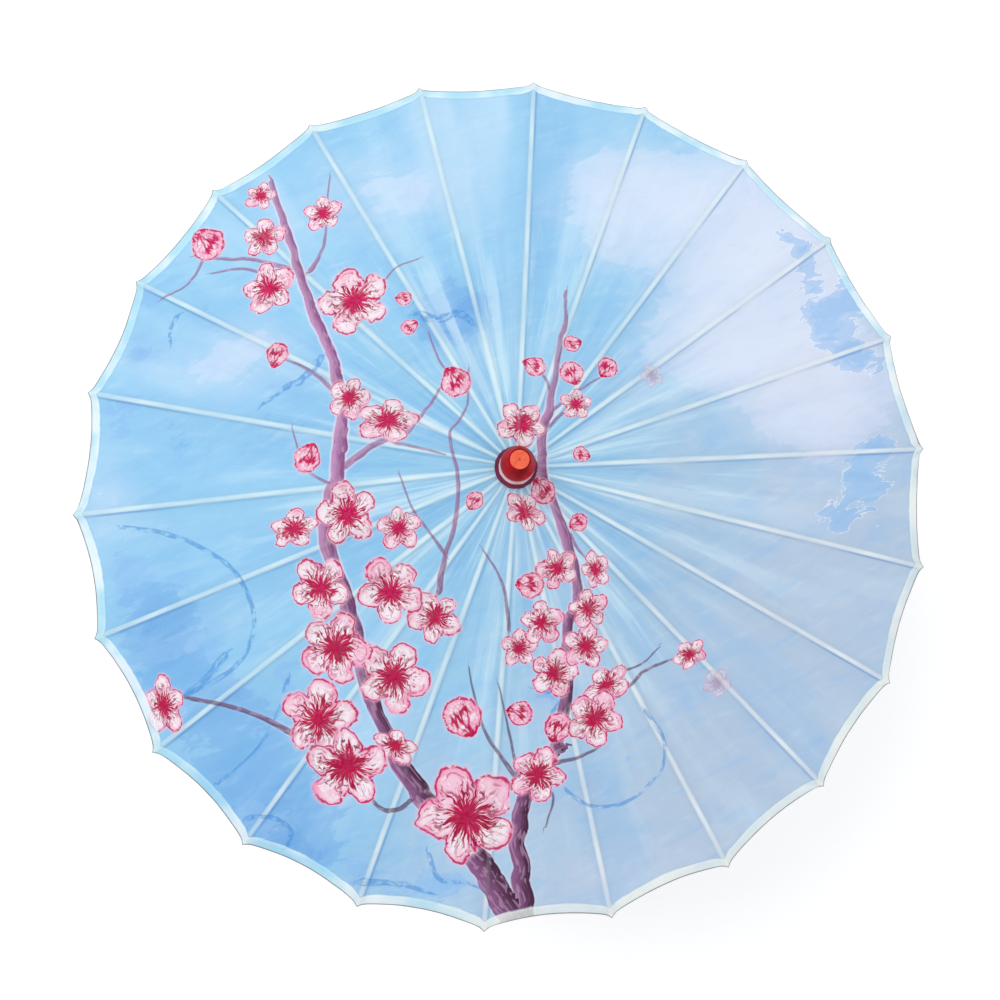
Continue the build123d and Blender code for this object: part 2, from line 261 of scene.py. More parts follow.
# Branches: half-width at the start and at the end, shade (0 bark, 1 blue wash line), then their points.
BRANCHES = [
    (3.3, 1.9, 0, (-6, -100), (-10, -92), (-13, -85), (-18, -78), (-26, -66), (-31, -55)),
    (1.7, 1.4, 0, (-28, -62), (-34, -46), (-36, -33), (-38, -22), (-41, -9), (-38, 2), (-36, 12)),
    (1.4, 0.7, 0, (-36, 8), (-36, 18), (-37, 27), (-40, 36), (-43, 45), (-46, 57), (-49, 67), (-52, 77)),
    (2.2, 1.3, 0, (-5, -98), (-5, -88), (-5, -76), (-1, -66), (5, -59)),
    (1.3, 0.9, 0, (3, -62), (7, -50), (8, -36), (11, -26), (9, -14), (5, -2)),
    (1.1, 0.3, 0, (5, -4), (6, 6), (9, 15), (12, 26), (14, 33), (15, 40)),
    (0.59, 0.15, 0, (-42, 51), (-39, 57), (-38, 66), (-37, 76)),
    (0.37, 0.52, 0, (-70, 59), (-62, 57), (-56, 56), (-47, 52)),
    (0.22, 0.37, 0, (-78, 49), (-73, 51), (-70, 54), (-68, 58)),
    (0.22, 0.44, 0, (-66, 54), (-58, 54), (-50, 50)),
    (0.59, 0.15, 0, (-36, 19), (-40, 24), (-45, 28), (-49, 30)),
    (0.74, 0.22, 0, (-36, 4), (-29, 8), (-22, 10), (-17, 15), (-14, 19)),
    (0.37, 0.15, 0, (-25, 8), (-19, 6), (-14, 4)),
    (0.37, 0.15, 0, (-38, 0), (-44, 4), (-46, 9), (-47, 14)),
    (0.3, 0.15, 0, (-11, 20), (-14, 25), (-16, 32)),
    (0.37, 0.15, 0, (-36, 44), (-27, 45), (-22, 49), (-17, 51)),
    (0.59, 0.15, 0, (-18, -24), (-16, -17), (-13, -9), (-12, 0), (-13, 8), (-9, 14), (-8, 23)),
    (0.37, 0.15, 0, (-16, -16), (-19, -11), (-22, -6), (-24, 1)),
    (0.44, 0.15, 0, (-4, -33), (-4, -28), (-5, -22), (-8, -16)),
    (0.59, 0.15, 0, (-3, -68), (-7, -61), (-11, -53), (-13, -40)),
    (0.37, 0.15, 0, (-4, -67), (-5, -59), (-6, -51), (-7, -44)),
    (0.59, 0.22, 0, (2, -63), (8, -62), (14, -60)),
    (0.44, 0.15, 0, (19, -49), (24, -45), (30, -43), (36, -42)),
    (0.3, 0.15, 0, (18, -44), (24, -43), (28, -40)),
    (0.37, 0.67, 0, (-82, -41), (-74, -43), (-66, -45), (-59, -48), (-52, -52)),
    (0.59, 0.3, 0, (-26, -67), (-31, -70), (-35, -69), (-37, -65)),
    (0.44, 0.15, 0, (9, 15), (8, 19), (6, 22)),
    (0.37, 0.15, 0, (9, 12), (15, 16), (22, 20)),
    (0.37, 0.15, 0, (7, 8), (11, 11), (15, 13)),
    (0.37, 0.15, 0, (10, -14), (12, -18), (16, -22)),
    (0.44, 0.15, 0, (-1, -67), (3, -70), (1, -77)),
    (0.5, 0.5, 1, (-88, -4), (-79, -6), (-70, -10), (-62, -16), (-59, -23), (-59, -30), (-64, -37), (-75, -42)),
    (0.6, 0.4, 1, (-64, -70), (-59, -70), (-55, -73), (-56, -77), (-60, -79)),
    (0.4, 0.4, 1, (4, -67), (11, -73), (20, -73), (27, -67), (28, -60), (24, -53)),
    (0.5, 0.4, 1, (-25, -81), (-23, -87), (-17, -88), (-11, -92)),
    (0.4, 0.3, 1, (-52, -40), (-58, -52), (-70, -62)),
    (0.9, 0.4, 1, (-40, 29), (-44, 25), (-49, 23), (-54, 20)),
    (0.5, 0.4, 1, (-74, 44), (-76, 41), (-76, 38)),
    (1.3, 0.6, 1, (-18, 36), (-13, 35), (-9, 36), (-6, 33)),
    (0.9, 0.5, 1, (-66, -34), (-72, -40), (-80, -44)),
    (0.9, 0.4, 1, (-40, -86), (-32, -87), (-25, -90)),
    (0.7, 0.4, 1, (1, -46), (6, -48), (3, -53)),
]
# Washes, pale ones and deep ones: x, y, reach in x, reach in y, and how much it adds.
PALE = [(68, 46, 30, 27, 1.0), (45, 68, 30, 18, 0.6), (74, 12, 22, 15, 0.8), (-22, 70, 20, 15, 0.5),
        (-60, 30, 15, 11, 0.6), (-92, 2, 8, 12, 0.45), (42, 24, 22, 10, 0.5), (5, 92, 22, 8, 0.2),
        (-84, 38, 10, 8, 0.3), (-5, 26, 10, 10, 0.2), (24, 58, 9, 16, 0.3), (20, -92, 30, 12, 0.3)]
DEEP = [(-84, -24, 16, 20, 0.5), (-78, -30, 9, 12, 0.35), (-68, -42, 8, 6, 0.4), (-12, 33, 8, 6, 0.5),
        (-54, -80, 8, 5, 0.4), (4, -47, 6, 3, 0.6), (-84, 36, 5, 6, 0.5), (-56, -74, 24, 14, 0.55),
        (-10, 38, 13, 10, 0.65), (-76, 14, 18, 16, 0.45), (-62, -56, 22, 18, 0.5), (-26, -88, 22, 9, 0.35),
        (-48, 18, 14, 16, 0.4), (8, -68, 16, 14, 0.3), (-66, 44, 16, 9, 0.4), (10, 52, 8, 20, 0.45),
        (30, 36, 16, 7, 0.3), (-8, 66, 18, 10, 0.2), (48, 6, 20, 7, 0.3)]
# Islands: crisp patches of darker wash with ragged edges.
ISLES = [(81, 33, 8, 8, 1.1), (86, 22, 8, 4, 1.0), (71, 55, 5, 3, 0.9), (76, 49, 4, 6, 0.9),
         (90, 40, 5, 6, 0.9), (82, -8, 8, 7, 0.95), (87, 1, 7, 3, 0.9), (74, -16, 6, 4, 0.75),
         (-88, 22, 7, 8, 0.7), (-86, -16, 8, 8, 0.8), (-70, -30, 9, 7, 0.7), (-62, -70, 9, 6, 0.85),
         (-24, -88, 10, 4, 0.9), (-12, 37, 8, 6, 0.95), (-80, 50, 5, 6, 0.8), (-52, -40, 5, 8, 0.6),
         (24, -64, 8, 5, 0.5), (-40, -82, 7, 4, 0.7)]
FULLNESS = 1.12                                         # how far the petals reach beyond a blossom's size
FORESHORTENED = 0.72                                    # the width left of a blossom seen from the side
NO_BLOSSOM = (9.0, 9.0, 0.0)                            # a frame and a stroke far off, where there is none
NO_STROKE = (9.0, 0.0, 0.0)


def smooth_path(points, steps=9):
    """Points along a smooth curve through the given ones."""
    ends = [points[0]] + list(points) + [points[-1]]
    found = []
    for i in range(len(points) - 1):
        a, b, c, d = (Vector(p) for p in ends[i:i + 4])
        for k in range(steps):
            t = k / steps
            found.append(0.5 * ((2 * b) + (c - a) * t + (2 * a - 5 * b + 4 * c - d) * t * t
                                + (3 * b - a - 3 * c + d) * t ** 3))
    return found + [Vector(points[-1])]


class Branch:
    """One stroke of the brush, bark or blue."""

    def __init__(self, index, start, end, shade, *points):
        self.path = smooth_path(points)
        wobble = [0.5 * noise.noise(Vector((index * 7.3, k * 0.31, 2.0))) for k in range(len(self.path))]
        self.path = [p + Vector((w * start, -w * start)) for p, w in zip(self.path, wobble)]
        self.start, self.end, self.shade, self.index = start, end, shade, index
        self.low = Vector((min(p.x for p in self.path), min(p.y for p in self.path)))
        self.high = Vector((max(p.x for p in self.path), max(p.y for p in self.path)))

    def far(self, p, margin):
        return (p.x < self.low.x - margin or p.x > self.high.x + margin
                or p.y < self.low.y - margin or p.y > self.high.y + margin)

    def read(self, p):
        """A point's signed distance from the stroke, the half-width there, and how far along that is."""
        best = None
        for k in range(len(self.path) - 1):
            a, d = self.path[k], self.path[k + 1] - self.path[k]
            t = (p - a).dot(d) / max(d.length_squared, 1e-9)
            inside = min(1.0, max(0.0, t))
            gap = (p - a - d * inside).length
            if best is None or gap < best[0] - 1e-9:
                side = d.x * (p - a).y - d.y * (p - a).x
                best = (gap, side, k + inside)
        gap, side, where = best
        share = where / (len(self.path) - 1)
        width = self.start + (self.end - self.start) * share
        width *= 1 + 0.24 * noise.noise(Vector((where * 0.22, self.index * 3.1, 5.0)))
        return math.copysign(gap, side), width, where * 0.11 + self.index


branches = [Branch(i, *b) for i, b in enumerate(BRANCHES)]


def washes(p, spots):
    """How much wash there is at a point."""
    total = 0.0
    for x, y, reach_x, reach_y, much in spots:
        total += much * math.exp(-(((p.x - x) / reach_x) ** 2 + ((p.y - y) / reach_y) ** 2))
    return total


def blossom_frame(index, p):
    """A point in the blossom's own radii, turned its own way, with a code for its kind."""
    x, y, size, kind = BLOSSOMS[index]
    size *= FULLNESS
    turn = index * 2.4
    d = (p - Vector((x, y))) / size
    if kind == 1:                                        # seen from the side: foreshortened
        lean = index * 1.7
        d.rotate(Matrix.Rotation(-lean, 2))
        d.y /= FORESHORTENED
        d.rotate(Matrix.Rotation(lean, 2))
    c, s = math.cos(turn), math.sin(turn)
    return (d.x * c - d.y * s, d.x * s + d.y * c, index + 100.0 * kind)


PETALS = 5
OUTLINE = srgb(180, 14, 82)


def petal_shape(x, y, reach, seed, rough, fine):
    """An open blossom of rounded petals: 0 in the middle of a petal and 1 at its edge. Also a point's
    angle in petals, and a number from 0 to 1 that each petal has for its own."""
    turn = calc("ARCTAN2", y, x) * (PETALS / (2 * math.pi)) + (rough - 0.5) * 0.6
    petal = calc("ROUND", turn)
    own = fraction(sine(petal * 12.9 + seed * 78.2) * 43.7)
    lean = (turn - petal) * (2 * math.pi / PETALS)
    length, side = reach * calc("COSINE", lean), reach * sine(lean)
    length = (length - 0.53) / (0.40 + own * 0.13)
    side = side / (0.33 + own * 0.08)
    return power(length * length + side * side, 0.5) + (fine - 0.5) * 0.26, turn, own


def bud_shape(x, y, rough, fine):
    """A cup, narrow at its foot: 0 in its middle and 1 at its edge."""
    cup_x = x / (0.60 + step(y, -0.9, 0.1) * 0.26)
    return power(cup_x * cup_x + y * y * 1.12, 0.5) + (fine - 0.5) * 0.12 + (rough - 0.5) * 0.40


def paint_blossom(name, tall):
    """Returns how much of a blossom covers a point, and its colour there. tall is as in paint_branch."""
    x, y, code = attribute(name)
    kind = calc("FLOOR", code / 100 + 0.001)
    seed = code - kind * 100
    faint, bud = step(kind, 2.5, 2.6), step(kind, 1.5, 1.6)
    bud = bud - faint
    spot = joined(x, y, seed * 1.37)
    rough = clouds(spot, 2.2, 2.0)
    fine = clouds(spot, 7.0, 2.0)
    reach = power(x * x + y * y, 0.5)
    petals, turn, own = petal_shape(x, y, reach, seed, rough, fine)
    inside = mix_value(bud, petals, bud_shape(x, y, rough, fine))
    cover = highest(step(inside, 1.06, 0.99), step(reach, 0.42, 0.34))

    # the petals: pale, pinker towards their edges, with strokes that run out from the heart
    rays = clouds(joined(turn * 3.4 + seed * 5, reach * 1.3, seed), 2.4, 3.0, 0.6)
    hair = clouds(joined(turn * 8.0 + seed * 3, reach * 1.1, seed), 2.2, 2.0, 0.6)
    colour = mix(step(rough + (own - 0.5) * 0.3, 0.42, 0.7), srgb(240, 230, 238), srgb(240, 196, 216))
    colour = mix(step(inside, 0.55, 1.0) * (0.85 - tall * 0.3), colour, srgb(236, 136, 178))
    colour = mix(bud * step(fine, 0.36, 0.6) * 0.6, colour, srgb(232, 112, 164))
    open_share = 1.0 - bud * 0.85
    soft_strokes = step(rays, 0.5, 0.62) * step(reach, 0.95, 0.3) * (0.7 - tall * 0.2)
    colour = mix(soft_strokes * open_share, colour, srgb(222, 66, 128))
    fine_strokes = step(hair, 0.54, 0.61) * step(reach, 0.95, 0.6) * step(reach, 0.2, 0.4)
    colour = mix(fine_strokes * 0.7 * open_share, colour, srgb(172, 22, 84))

    # outlines, broken and in places doubled
    broken = step(clouds(spot, 2.9, 2.0), 0.34, 0.48)
    outline = step(absolute(inside - 0.93), 0.080, 0.025) * broken
    colour = mix(outline * 0.9, colour, OUTLINE)
    second = step(absolute(inside - 0.66), 0.060, 0.020) * step(rough, 0.50, 0.58)
    colour = mix(second * 0.6, colour, srgb(196, 40, 104))
    # a bud's petal edges run up from its foot
    rise = highest(y + 0.9, 0.02) * 0.55
    left_edge = absolute(x + power(rise, 0.7) * 0.42 - 0.10 + (rough - 0.5) * 0.5)
    right_edge = absolute(x - power(rise, 1.3) * 0.60 + 0.05 + (rough - 0.5) * 0.4)
    folds = highest(step(left_edge, 0.075, 0.025), step(right_edge, 0.075, 0.025))
    colour = mix(folds * step(y, 0.6, 0.3) * bud * 0.85, colour, OUTLINE)

    # the heart: a ragged star in an open blossom, a dark mouth and foot in a bud
    star = step(reach - (rays - 0.5) * 1.25 - (hair - 0.5) * 0.6, 0.45, 0.34)
    streak = clouds(joined(x * 4.5, y * 1.1, seed), 1.6, 2.0, 0.6)
    mouth = absolute(y - 0.16 - x * 0.3 + (streak - 0.5) * 1.3)
    mouth = step(mouth, 0.26, 0.10) * step(absolute(x + 0.1), 0.60, 0.40)
    foot = step(y + (streak - 0.5) * 1.2, -0.50, -0.70)
    heart = mix_value(bud, star, highest(mouth, foot) * step(inside, 1.0, 0.9))
    red = mix(tall, srgb(196, 0, 72), srgb(224, 4, 100))
    colour = mix(heart * 0.95, colour, mix(step(hair, 0.4, 0.6), red, srgb(152, 0, 56)))
    # stamens: threads out from the heart, and dots at their ends
    threads = step(absolute(fraction(turn * 2.0 + rough * 2) - 0.5), 0.11, 0.04) * step(reach, 0.66, 0.56)
    colour = mix(threads * (1.0 - bud) * 0.75, colour, srgb(160, 2, 62))
    dots = (step(clouds(joined(turn * 2.5, reach * 4, seed), 3.0, 1.0), 0.62, 0.67)
            * step(reach, 0.74, 0.64) * step(reach, 0.36, 0.44))
    colour = mix(dots * (1.0 - bud) * 0.85, colour, srgb(110, 4, 54))
    colour = mix(step(fine, 0.58, 0.68) * step(reach, 0.5, 0.7) * 0.5, colour, srgb(252, 246, 250))
    # a thin wash of pink lies around each blossom
    halo = step(inside, 1.26, 1.0) * 0.24
    colour = mix(cover, srgb(236, 206, 226), colour)
    return highest(cover, halo) * (1.0 - faint * 0.65), colour


def paint_branch(name, old, tall):
    """Draws one stroke over a colour. tall is 0 at the foot of the tree and 1 at its top."""
    off, width, along = attribute(name)
    blue = step(width, 49.0, 51.0)                       # a blue stroke's width has 100 added
    width = width - blue * 100
    grain = clouds(joined(off * 1.3, along * 3, 0.0), 1.6, 3.0, 0.6)
    unsteady = (clouds(joined(off * 0.2, along * 4, 1.0), 1.5, 2.0) - 0.5) * (0.5 - 0.3 * step(width, 0.8, 2.0))
    edge = width * (1.0 + unsteady)
    there = step(width, 0.04, 0.16)
    cover = step(absolute(off), edge + 0.15, edge - 0.12) * there
    lit = step(off / highest(width, 0.3) + (grain - 0.5) * 2.2, -0.9, 0.9)
    lit = lit * (0.35 + 0.65 * step(width, 0.3, 1.2))
    dark_side = mix(tall, srgb(70, 34, 62), srgb(136, 84, 134))
    lit_side = mix(tall, srgb(140, 92, 136), srgb(192, 146, 188))
    bark = mix(lit, dark_side, lit_side)
    bark = mix(step(grain, 0.55, 0.72) * 0.6, bark, mix(tall, srgb(56, 26, 50), srgb(112, 62, 106)))
    facets = clouds(joined(off * 0.9, along * 2.2, 7.0), 1.3, 1.0)
    bark = mix(step(facets, 0.54, 0.60) * 0.40, bark, srgb(196, 156, 190))
    colour = mix(blue, bark, srgb(66, 140, 210))
    faded = clouds(joined(along * 4, off, 3.0), 1.1, 2.0)
    strength = mix_value(blue, 0.76 + 0.24 * step(width, 0.3, 1.2), 0.62 * step(faded, 0.33, 0.58))
    rim = step(absolute(off), edge + 0.65, edge + 0.15) * there * step(width, 0.3, 0.9) * (1.0 - blue)
    under = mix(rim * (0.25 + tall * 0.3), old, srgb(234, 220, 238))
    return mix(cover * strength, under, colour)


UNIT_MM = 4.14                                          # a hundredth of the canopy's radius
WEAVE = 0.9                                             # from thread to thread, in mm
HEM_FOLD = 10.4                                         # the turned hem's width, in mm
STITCH_LINE, STITCH = 8.2, 2.6                          # from the edge, and from stitch to stitch, in mm


def paint_ground(x, y, east, north, reach, puffs, wisps, slant, cool):
    """The blue ground with its washes, before anything is drawn on it."""
    pale, deep, isles = attribute("wash")
    dabs = clouds(scaled(slant, 0.055, 0.22), 1.0, 4.0, 0.62, 0.6)
    feather = clouds(scaled(slant, 0.12, 0.3), 1.0, 5.0, 0.7, 0.8)
    # streaks that run out from the shaft: fine ones, and broad pale beams
    rays = clouds(joined(east * 10, north * 10, reach * 0.005), 1.0, 4.0, 0.6)
    beams = clouds(joined(east * 3.4, north * 3.4, reach * 0.0025 + 5.0), 1.0, 3.0, 0.5)
    near = step(reach, 330.0, 30.0)
    tone = mix(cool, srgb(150, 202, 235), srgb(178, 197, 219))
    tone = mix(step(dabs, 0.5, 0.66) * 0.24, tone, srgb(126, 182, 230))
    tone = mix(step(beams, 0.52, 0.70) * 0.34, tone, srgb(212, 232, 247))
    tone = mix(step(beams, 0.48, 0.34) * 0.26, tone, srgb(120, 178, 228))
    wet = deep + (feather - 0.5) * 0.7 + (puffs - 0.5) * 0.5
    tone = mix(step(wet, 0.49, 0.52) * 0.24 + step(wet, 0.1, 0.9) * 0.44, tone, srgb(104, 164, 224))
    tone = mix(step(wet + (wisps - 0.5) * 0.5, 0.80, 0.83) * 0.26, tone, srgb(84, 148, 214))
    thin = pale + (feather - 0.5) * 0.4 + (puffs - 0.5) * 0.7
    tone = mix(step(thin, 0.44, 0.49) * 0.16 + step(thin, 0.0, 1.05) * 0.54, tone, srgb(229, 231, 247))
    ragged = clouds(scaled(slant, 0.10, 0.24), 1.0, 3.0, 0.62, 0.9)
    isle = isles + (ragged - 0.5) * 1.9
    tone = mix(step(isle, 0.57, 0.59) * 0.5 + step(isle, 0.82, 0.86) * 0.2, tone, srgb(138, 186, 234))
    isle_edge = step(absolute(isle - 0.56), 0.035, 0.008) * step(x, 30.0, 50.0)
    tone = mix(isle_edge * 0.5, tone, srgb(236, 238, 250))
    tone = mix(step(rays, 0.50, 0.66) * (near * 0.50 + 0.10), tone, srgb(220, 243, 251))
    tone = mix(step(rays, 0.48, 0.34) * (near * 0.34 + 0.06), tone, srgb(112, 170, 222))
    tone = mix(step(wisps, 0.52, 0.80) * 0.14, tone, srgb(228, 242, 252))
    return mix(step(wisps, 0.46, 0.26) * 0.08, tone, srgb(124, 178, 226)), near


def paint_hem(colour, x, y, side, hem, puffs, wisps, patchiness, place):
    """The hem, which is turned over on itself and stitched."""
    warm = step(x * 0.6 - y * 0.8 + (puffs - 0.5) * 60, 25.0, 80.0)
    patch = clouds(place, 0.09, 2.0)
    turned = mix(step(patch, 0.40, 0.60), srgb(186, 234, 243), srgb(240, 250, 251))
    turned = mix(warm * 0.8, turned, srgb(240, 242, 232))
    fold = step(hem + (wisps - 0.5) * 3.0, HEM_FOLD + 0.2, HEM_FOLD - 1.2)
    colour = mix(fold * (0.62 + (patch - 0.5) * 0.9), colour, turned)
    colour = mix(step(absolute(hem - HEM_FOLD), 0.9, 0.1) * 0.22, colour, srgb(110, 160, 196))
    dashes = step(absolute(fraction(side / STITCH) - 0.5), 0.34, 0.28)
    colour = mix(step(absolute(hem - STITCH_LINE), 0.45, 0.15) * dashes * 0.35, colour, srgb(245, 250, 252))
    return mix(step(hem + (patchiness - 0.5) * 0.8, 1.7, 1.0) * 0.9, colour, srgb(122, 112, 108))


def make_cloth():
    made = begin("cloth")
    u, v, _ = parts_of(node("ShaderNodeUVMap", 0, {"uv_map": "UVMap"}))
    x, y = u * 200 - 100, v * 200 - 100                  # hundredths of the canopy's radius
    place = joined(x, y, 0.0)
    side, hem, reach = attribute("seam")                 # millimetres
    slant = joined(x * 0.94 + y * 0.34, y * 0.94 - x * 0.34, 0.0)
    puffs = clouds(place, 0.045, 4.0, 0.6, 0.5)
    wisps = clouds(scaled(slant, 0.14, 0.5), 1.0, 3.0, 0.55, 0.4)
    centre = highest(power(x * x + y * y, 0.5), 0.5)
    east, north = x / centre, y / centre
    cool = step(x * 0.66 - y * 0.5 + (puffs - 0.5) * 50, -12.0, 62.0)
    tone, near = paint_ground(x, y, east, north, reach, puffs, wisps, slant, cool)
    # a paler band runs along each rib, where the cloth is pulled over it
    patchiness = clouds(joined(reach * 0.016, side * 0.09, 0.0), 1.0, 3.0)
    wide = 0.50 + step(reach, 15.0, 150.0) * 0.38 + patchiness * 0.25
    band = step(absolute(side + 0.2) / wide, 3.1, 0.8) * (0.40 + step(patchiness, 0.3, 0.7) * 0.45)
    tone = mix(band, tone, mix(cool, srgb(222, 245, 252), srgb(240, 247, 252)))
    # and a painted shadow lies along the side of the rib that faces down, beside its ridge
    facing = east * 0.95 + north * 0.30
    shade = step(absolute(side * calc("SIGN", facing) + 3.2), 1.7, 0.2) * step(absolute(facing), 0.1, 0.55)
    shade = shade * step(hem, 3.0, 10.0) * (step(patchiness, 0.30, 0.65) * 0.34 + step(hem, 150.0, 20.0) * 0.34)
    tone = mix(shade, tone, srgb(88, 144, 204))
    tall = step(y + (puffs - 0.5) * 30, -62.0, 8.0)
    colour = paint_branch("stroke_b", tone, tall)
    colour = paint_branch("stroke_a", colour, tall)
    for name in ("bloom_c", "bloom_b", "bloom_a"):
        cover, petals = paint_blossom(name, tall)
        colour = mix(cover, colour, petals)
    # the pale band along each rib shows faintly over the print too
    colour = mix(band * 0.10, colour, srgb(236, 246, 250))
    colour = paint_hem(colour, x, y, side, hem, puffs, wisps, patchiness, place)
    warp = sine(x * 2 * math.pi * UNIT_MM / WEAVE) * 0.5
    weft = sine(y * 2 * math.pi * UNIT_MM / WEAVE) * 0.5
    creases = clouds(scaled(slant, 0.10, 0.30), 1.0, 4.0, 0.55, 0.5)
    crinkle = clouds(joined(east * 26, north * 26, reach * 0.02), 1.0, 3.0, 0.55)
    weave = bump(warp + weft + clouds(place, 2.5, 2.0) * 2.0, 0.15, 0.2 * MM)
    normal = bump(creases * 0.6 + crinkle * near, 0.26, 2.2 * MM, weave)
    front = principled(Base_Color=colour, Roughness=0.62 + patchiness * 0.2, Normal=normal,
                       Sheen_Weight=0.04, Sheen_Roughness=0.4, Specular_IOR_Level=0.16)
    glow = node("ShaderNodeBsdfTranslucent", Color=colour, Normal=normal)
    surface(mix_shaders(0.18, front, glow))
    return made


# ---------------------------------------------------------------- the other materials
def make_bamboo():
    made = begin("bamboo_split")
    reach, side, height, which = along_stick()
    fibres = clouds(joined(reach * 25, side * 2600, height * 900 + which), 1.0, 4.0, 0.65)
    tone = clouds(joined(reach * 6, which * 3.1, 0.0), 1.0, 3.0)
    colour = mix(step(fibres, 0.35, 0.7), srgb(206, 170, 112), srgb(232, 205, 155))
    colour = mix(tone * 0.5, colour, srgb(188, 146, 92))
    knot = step(absolute(fraction(reach * 4.6 + which * 0.37) - 0.5), 0.012, 0.003)
    colour = mix(knot * 0.7, colour, srgb(128, 88, 48))
    colour = mix(step(fibres, 0.74, 0.8) * 0.6, colour, srgb(140, 100, 58))
    surface(principled(Base_Color=colour, Roughness=0.42 + fibres * 0.25,
                       Normal=bump(fibres + knot, 0.4, 0.0002)))
    return made


def darker(colour, share):
    return (*(c * share for c in colour[:3]), 1.0)


def make_wood(name, light, dark, rough, coat, ring=0.0):
    """Turned wood with its grain along the shaft. ring is 1 where thin lines are turned into it."""
    made = begin(name)
    x, y, z = object_place()
    warp = clouds(joined(x * 30, y * 30, z * 6), 1.0, 3.0)
    grain = clouds(joined(x * 260 + warp * 3, y * 260, z * 9), 1.0, 5.0, 0.6)
    pores = clouds(joined(x * 1500, y * 1500, z * 60), 1.0, 2.0)
    colour = mix(step(grain, 0.32, 0.68), dark, light)
    colour = mix(step(pores, 0.62, 0.7) * 0.55, colour, darker(dark, 0.45))
    marks = step(absolute(fraction(z * 38 + warp * 0.02) - 0.5), 0.03, 0.01) * ring
    colour = mix(marks * 0.5, colour, darker(dark, 0.4))
    surface(principled(Base_Color=colour, Roughness=rough + grain * 0.18, Coat_Weight=coat, Coat_Roughness=0.12,
                       Normal=bump(grain * 0.6 + pores * 0.4 - marks, 0.3, 0.0003)))
    return made


def make_lacquer():
    made = begin("lacquer_red")
    x, y, z = object_place()
    place = joined(x, y, z)
    haze = clouds(place, 70.0, 4.0, 0.6)
    brush = clouds(joined(x * 90, y * 90, z * 420), 1.0, 3.0)
    chips = clouds(place, 420.0, 3.0, 0.7)
    colour = mix(step(haze, 0.35, 0.68), srgb(108, 2, 16), srgb(176, 4, 14))
    colour = mix(step(chips, 0.70, 0.76) * 0.5, colour, srgb(196, 72, 60))
    surface(principled(Base_Color=colour, Roughness=0.26 + haze * 0.14, Coat_Weight=0.03, Coat_Roughness=0.12,
                       Specular_IOR_Level=0.03, Normal=bump(brush * 0.5 + haze, 0.10, 0.0003)))
    return made


def make_plug():
    made = begin("plug_paint")
    x, y, z = object_place()
    reach = power(x * x + y * y, 0.5)
    haze = clouds(joined(x, y, z), 260.0, 4.0, 0.6)
    turned = sine(reach * 2 * math.pi / 0.0011 + haze * 2)
    colour = mix(step(haze, 0.35, 0.65), srgb(222, 80, 50), srgb(236, 102, 66))
    colour = mix(step(reach + (haze - 0.5) * 0.0012, 0.0011, 0.0005) * 0.8, colour, srgb(120, 30, 20))
    colour = mix(step(reach, 0.0070, 0.0086) * 0.45, colour, srgb(150, 30, 22))
    surface(principled(Base_Color=colour, Roughness=0.55 + haze * 0.2,
                       Normal=bump(turned * 0.3 + haze, 0.3, 0.0003)))
    return made


def make_collar():
    """Dyed paper-backed felt, bare and pinkish near the cap."""
    made = begin("collar_felt")
    x, y, z = object_place()
    place = joined(x, y, z)
    reach = power(x * x + y * y, 0.5)
    fluff = clouds(place, 900.0, 4.0, 0.7)
    blot = clouds(place, 140.0, 3.0)
    bare = step(reach + (blot - 0.5) * 0.0014, 0.0152, 0.0147)
    colour = mix(step(fluff, 0.35, 0.65), srgb(84, 8, 48), srgb(128, 26, 76))
    colour = mix(bare * 0.9, colour, mix(blot, srgb(250, 236, 240), srgb(232, 184, 202)))
    surface(principled(Base_Color=colour, Roughness=0.85, Sheen_Weight=0.3, Normal=bump(fluff, 0.6, 0.0004)))
    return made


def make_metal(name, light, dark, rough):
    made = begin(name)
    x, y, z = object_place()
    haze = clouds(joined(x, y, z), 300.0, 4.0, 0.6)
    drawn = clouds(joined(x * 900, y * 900, z * 4000), 1.0, 2.0)
    colour = mix(step(haze, 0.4, 0.75), light, dark)
    surface(principled(Base_Color=colour, Metallic=1.0, Roughness=rough + haze * 0.22,
                       Normal=bump(drawn + haze, 0.2, 0.00015)))
    return made


cloth = make_cloth()
looks = {
    "bamboo": make_bamboo(),
    "shaft_wood": make_wood("shaft_wood", srgb(196, 152, 104), srgb(142, 98, 58), 0.38, 0.25),
    "hub_wood": make_wood("hub_wood", srgb(214, 176, 128), srgb(168, 122, 78), 0.45, 0.1),
    "grip_wood": make_wood("grip_wood", srgb(124, 66, 36), srgb(70, 32, 18), 0.26, 0.6, ring=1.0),
    "lacquer": make_lacquer(),
    "cap_plug_paint": make_plug(),
    "collar": make_collar(),
    "wire": make_metal("wire_steel", srgb(200, 200, 202), srgb(128, 124, 120), 0.28),
    "brass": make_metal("brass_aged", srgb(226, 184, 102), srgb(142, 104, 50), 0.24),
}
for row in frame["record"]["subparts"]:
    solid = frame["nodes"][row["node"]]
    if row["material_slot"] in looks:
        solid.data.materials.clear()
        solid.data.materials.append(looks[row["material_slot"]])

# ---------------------------------------------------------------- the canopy's cloth
COLUMNS = 34                                            # across a gore
CROWDING = 1.15                                         # above 1, the columns stand closer near the rib
ROW_STEP = 3.4                                          # mm, on the way from the collar to the hem
HEM_ROWS = [14.5, 10.8, 9.8, 8.8, 6.5, 4.0, 1.8, 0.6, 0.0]   # the last rows' distances from the edge, in mm
NUB = 2.8                                               # how far the cloth runs out over a rib's end, in mm
HANG = 3.2                                              # how far it hangs between two ribs at most, in mm
RIDGE = 0.75                                            # how far a rib stands up under it, in mm


def hem_sag(angle):
    """How far the hem's arc lies inside its chord, in mm: deepest at the lower left."""
    return 5.0 + 2.0 * math.cos(angle - LOWER_LEFT)


